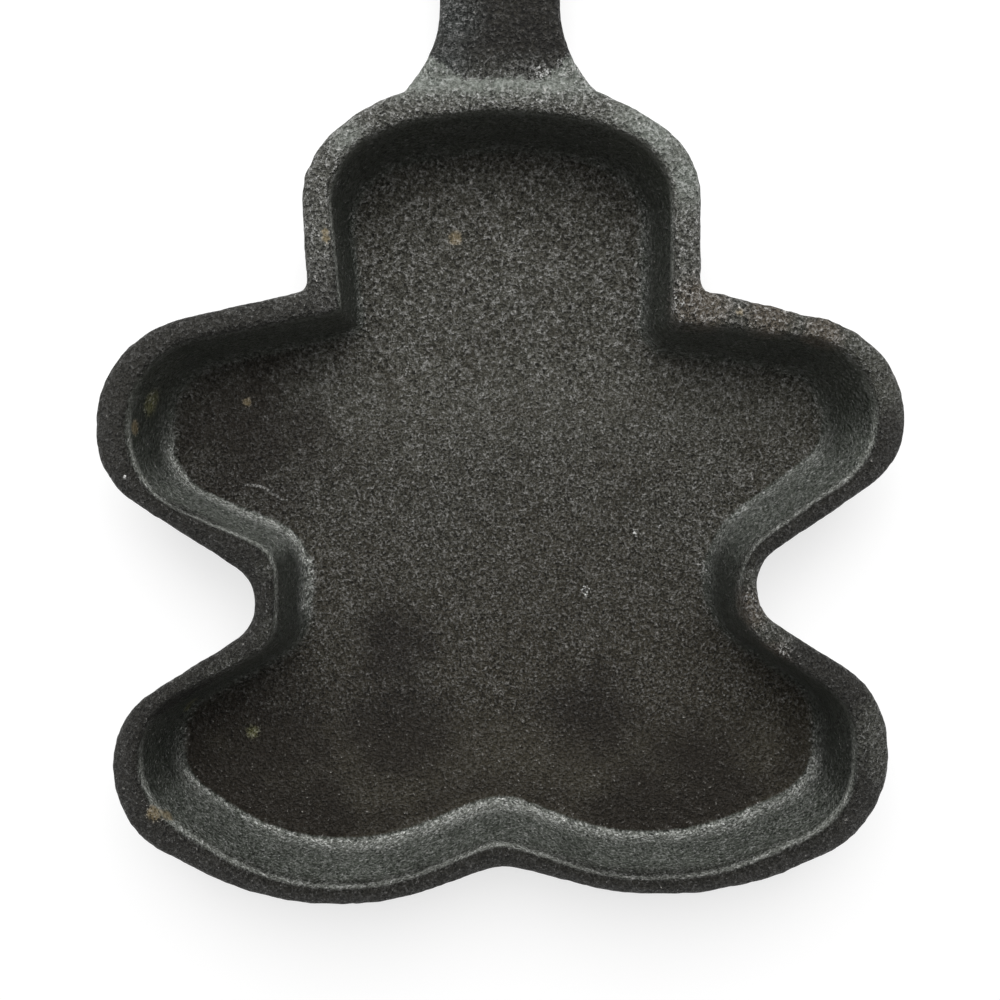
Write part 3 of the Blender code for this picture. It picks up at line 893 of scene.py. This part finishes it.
def skin_roughness(tree, at):
    leaning = product(tree, eased(tree, at.faces_up, *LEANING_SPAN), at.in_pan)
    roughness = eased(tree, leaning, *LEANING_ROUGHNESS)
    roughness = sum_of(tree, "ADD", roughness, eased(tree, at.patches, *PATCH_ROUGHNESS))
    return sum_of(tree, "ADD", roughness, eased(tree, at.sand, *SAND_ROUGHNESS))


def seasoned_iron():
    iron = bpy.data.materials.new("seasoned_iron")
    iron.use_nodes = True
    tree = iron.node_tree
    shader = tree.nodes["Principled BSDF"]
    at = read_the_iron(tree)
    at.rubbed = rubbed_share(tree, at)
    at.rim_line = rim_line_share(tree, at)
    at.grain_strength = grain_strength(tree, at)
    colour = mix(tree, at.on_rim, floor_colour(tree, at), rim_colour(tree, at))
    colour = mix(tree, at.on_wall, colour, wall_colour(tree, at))
    colour = mix(tree, at.past_head, colour, handle_colour(tree, at))
    # The rubbed slope and the polished rim carry a painted highlight.
    colour = mix(tree, at.rubbed, colour, RUBBED_HIGHLIT_IRON)
    # The pale lines are partly wear and mostly a painted highlight.
    colour = mix(tree, worn_and_highlit_share(tree, at), colour, WORN_HIGHLIT_EDGE)
    colour = grained(tree, at, marked(tree, at, colour))
    tree.links.new(colour, shader.inputs["Base Color"])
    tree.links.new(skin_roughness(tree, at), shader.inputs["Roughness"])
    tree.links.new(grain_relief(tree, at), shader.inputs["Normal"])
    shader.inputs["Specular IOR Level"].default_value = IRON_SHINE
    return iron


def grow_the_skin(obj, iron):
    """Runs the skin's tree on the casting and keeps what it makes inside the frame's box."""
    tree = sand_cast_skin()
    skin = obj.modifiers.new("sand cast skin", "NODES")
    skin.node_group = tree
    wanted = {**SKIN_INPUTS, "Seed": SKIN_SEED, "Iron": iron}
    for socket in tree.interface.items_tree:
        if socket.in_out == "INPUT" and socket.name in wanted:
            skin[socket.identifier] = wanted[socket.name]
    finished_mesh(obj)
    low, high = cad_box
    held = np.clip(points_of(obj.data), low, high)
    obj.data.vertices.foreach_set("co", held.ravel())
    obj.data.update()
    obj.data.shade_smooth()


grow_the_skin(casting, seasoned_iron())
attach(casting, "root")
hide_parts(CASTING_NODE)


# The floor that the skillet stands on: a wide pale sheet, white to the camera, which still takes
# the skillet's shadow.
FLOOR_HALF_WIDTH = 1.5
FLOOR_DROP = 0.0002
FLOOR_COLOUR = (0.36, 0.36, 0.36, 1)
FLOOR_ROUGHNESS = 0.9
FLOOR_SHINE = 0.1
FLOOR_GLOW = 0.70
GLOW_SPAN = (0.16, 0.34)
WHITE = (1, 1, 1, 1)


def seen_straight(tree):
    """1 for what the camera sees, also in a reflection or through glass."""
    path = tree.nodes.new("ShaderNodeLightPath").outputs
    both = sum_of(tree, "MAXIMUM", path["Is Camera Ray"], path["Is Glossy Ray"])
    return sum_of(tree, "MAXIMUM", both, path["Is Transmission Ray"])


def pale_floor():
    data = bpy.data.meshes.new("floor")
    half = FLOOR_HALF_WIDTH
    corners = [(-half, -half), (half, -half), (half, half), (-half, half)]
    data.from_pydata([(x, y, -FLOOR_DROP) for x, y in corners], [], [(0, 1, 2, 3)])
    floor = bpy.data.objects.new("floor", data)
    bpy.context.scene.collection.objects.link(floor)
    paper = bpy.data.materials.new("pale_paper")
    paper.use_nodes = True
    tree = paper.node_tree
    shader = tree.nodes["Principled BSDF"]
    shader.inputs["Base Color"].default_value = FLOOR_COLOUR
    shader.inputs["Roughness"].default_value = FLOOR_ROUGHNESS
    shader.inputs["Specular IOR Level"].default_value = FLOOR_SHINE
    shader.inputs["Emission Color"].default_value = WHITE
    place = add(tree, "ShaderNodeTexCoord", output="Object")
    from_pan = add(tree, "ShaderNodeVectorMath", {0: place}, output="Value", operation="LENGTH")
    wider = eased(tree, from_pan, *GLOW_SPAN, FLOOR_GLOW, 1.0)
    glow = sum_of(tree, "MULTIPLY", seen_straight(tree), wider)
    tree.links.new(glow, shader.inputs["Emission Strength"])
    data.materials.append(paper)


pale_floor()


# The light. One wide soft lamp stands beyond the handle, as in the picture, and a weak even sky
# fills the rest.
QUARTER_TURN = math.radians(90)
LAMP_TURN = QUARTER_TURN
LAMP_RISE = math.radians(56)
LAMP_DISTANCE = 0.60
LAMP_WIDTH = 0.60
LAMP_LENGTH = 0.45
LAMP_POWER = 4.6
SKY_STRENGTH = 0.21


def light_the_studio():
    lamp = bpy.data.lights.new("soft_lamp", "AREA")
    lamp.shape = "RECTANGLE"
    lamp.size = LAMP_WIDTH
    lamp.size_y = LAMP_LENGTH
    lamp.energy = LAMP_POWER
    holder = bpy.data.objects.new("soft_lamp", lamp)
    flat = LAMP_DISTANCE * math.cos(LAMP_RISE)
    holder.location = (
        flat * math.cos(LAMP_TURN),
        flat * math.sin(LAMP_TURN),
        LAMP_DISTANCE * math.sin(LAMP_RISE),
    )
    holder.rotation_euler = (QUARTER_TURN - LAMP_RISE, 0, LAMP_TURN + QUARTER_TURN)
    bpy.context.scene.collection.objects.link(holder)
    sky = bpy.data.worlds.new("studio_sky")
    sky.use_nodes = True
    tree = sky.node_tree
    back = tree.nodes["Background"]
    back.inputs["Color"].default_value = WHITE
    strength = eased(tree, seen_straight(tree), 0.0, 1.0, SKY_STRENGTH, 1.0)
    tree.links.new(strength, back.inputs["Strength"])
    bpy.context.scene.world = sky


light_the_studio()


# The camera looks straight down into the pan from just above it, so that the walls open out
# towards the edges of the picture.
CAMERA_PLACE = (0.00064, 0.00604, 0.1920)
CAMERA_LENS = 39.93
CAMERA_SENSOR = 36.0
CAMERA_SHIFT = (-0.0045, -0.0392)
CAMERA_NEAR = 0.01


def set_the_camera():
    data = bpy.data.cameras.new("camera")
    data.lens = CAMERA_LENS
    data.sensor_width = CAMERA_SENSOR
    data.shift_x, data.shift_y = CAMERA_SHIFT
    data.clip_start = CAMERA_NEAR
    camera = bpy.data.objects.new("camera", data)
    camera.location = CAMERA_PLACE
    bpy.context.scene.collection.objects.link(camera)
    bpy.context.scene.camera = camera
    bpy.context.scene.view_settings.view_transform = "Standard"


set_the_camera()
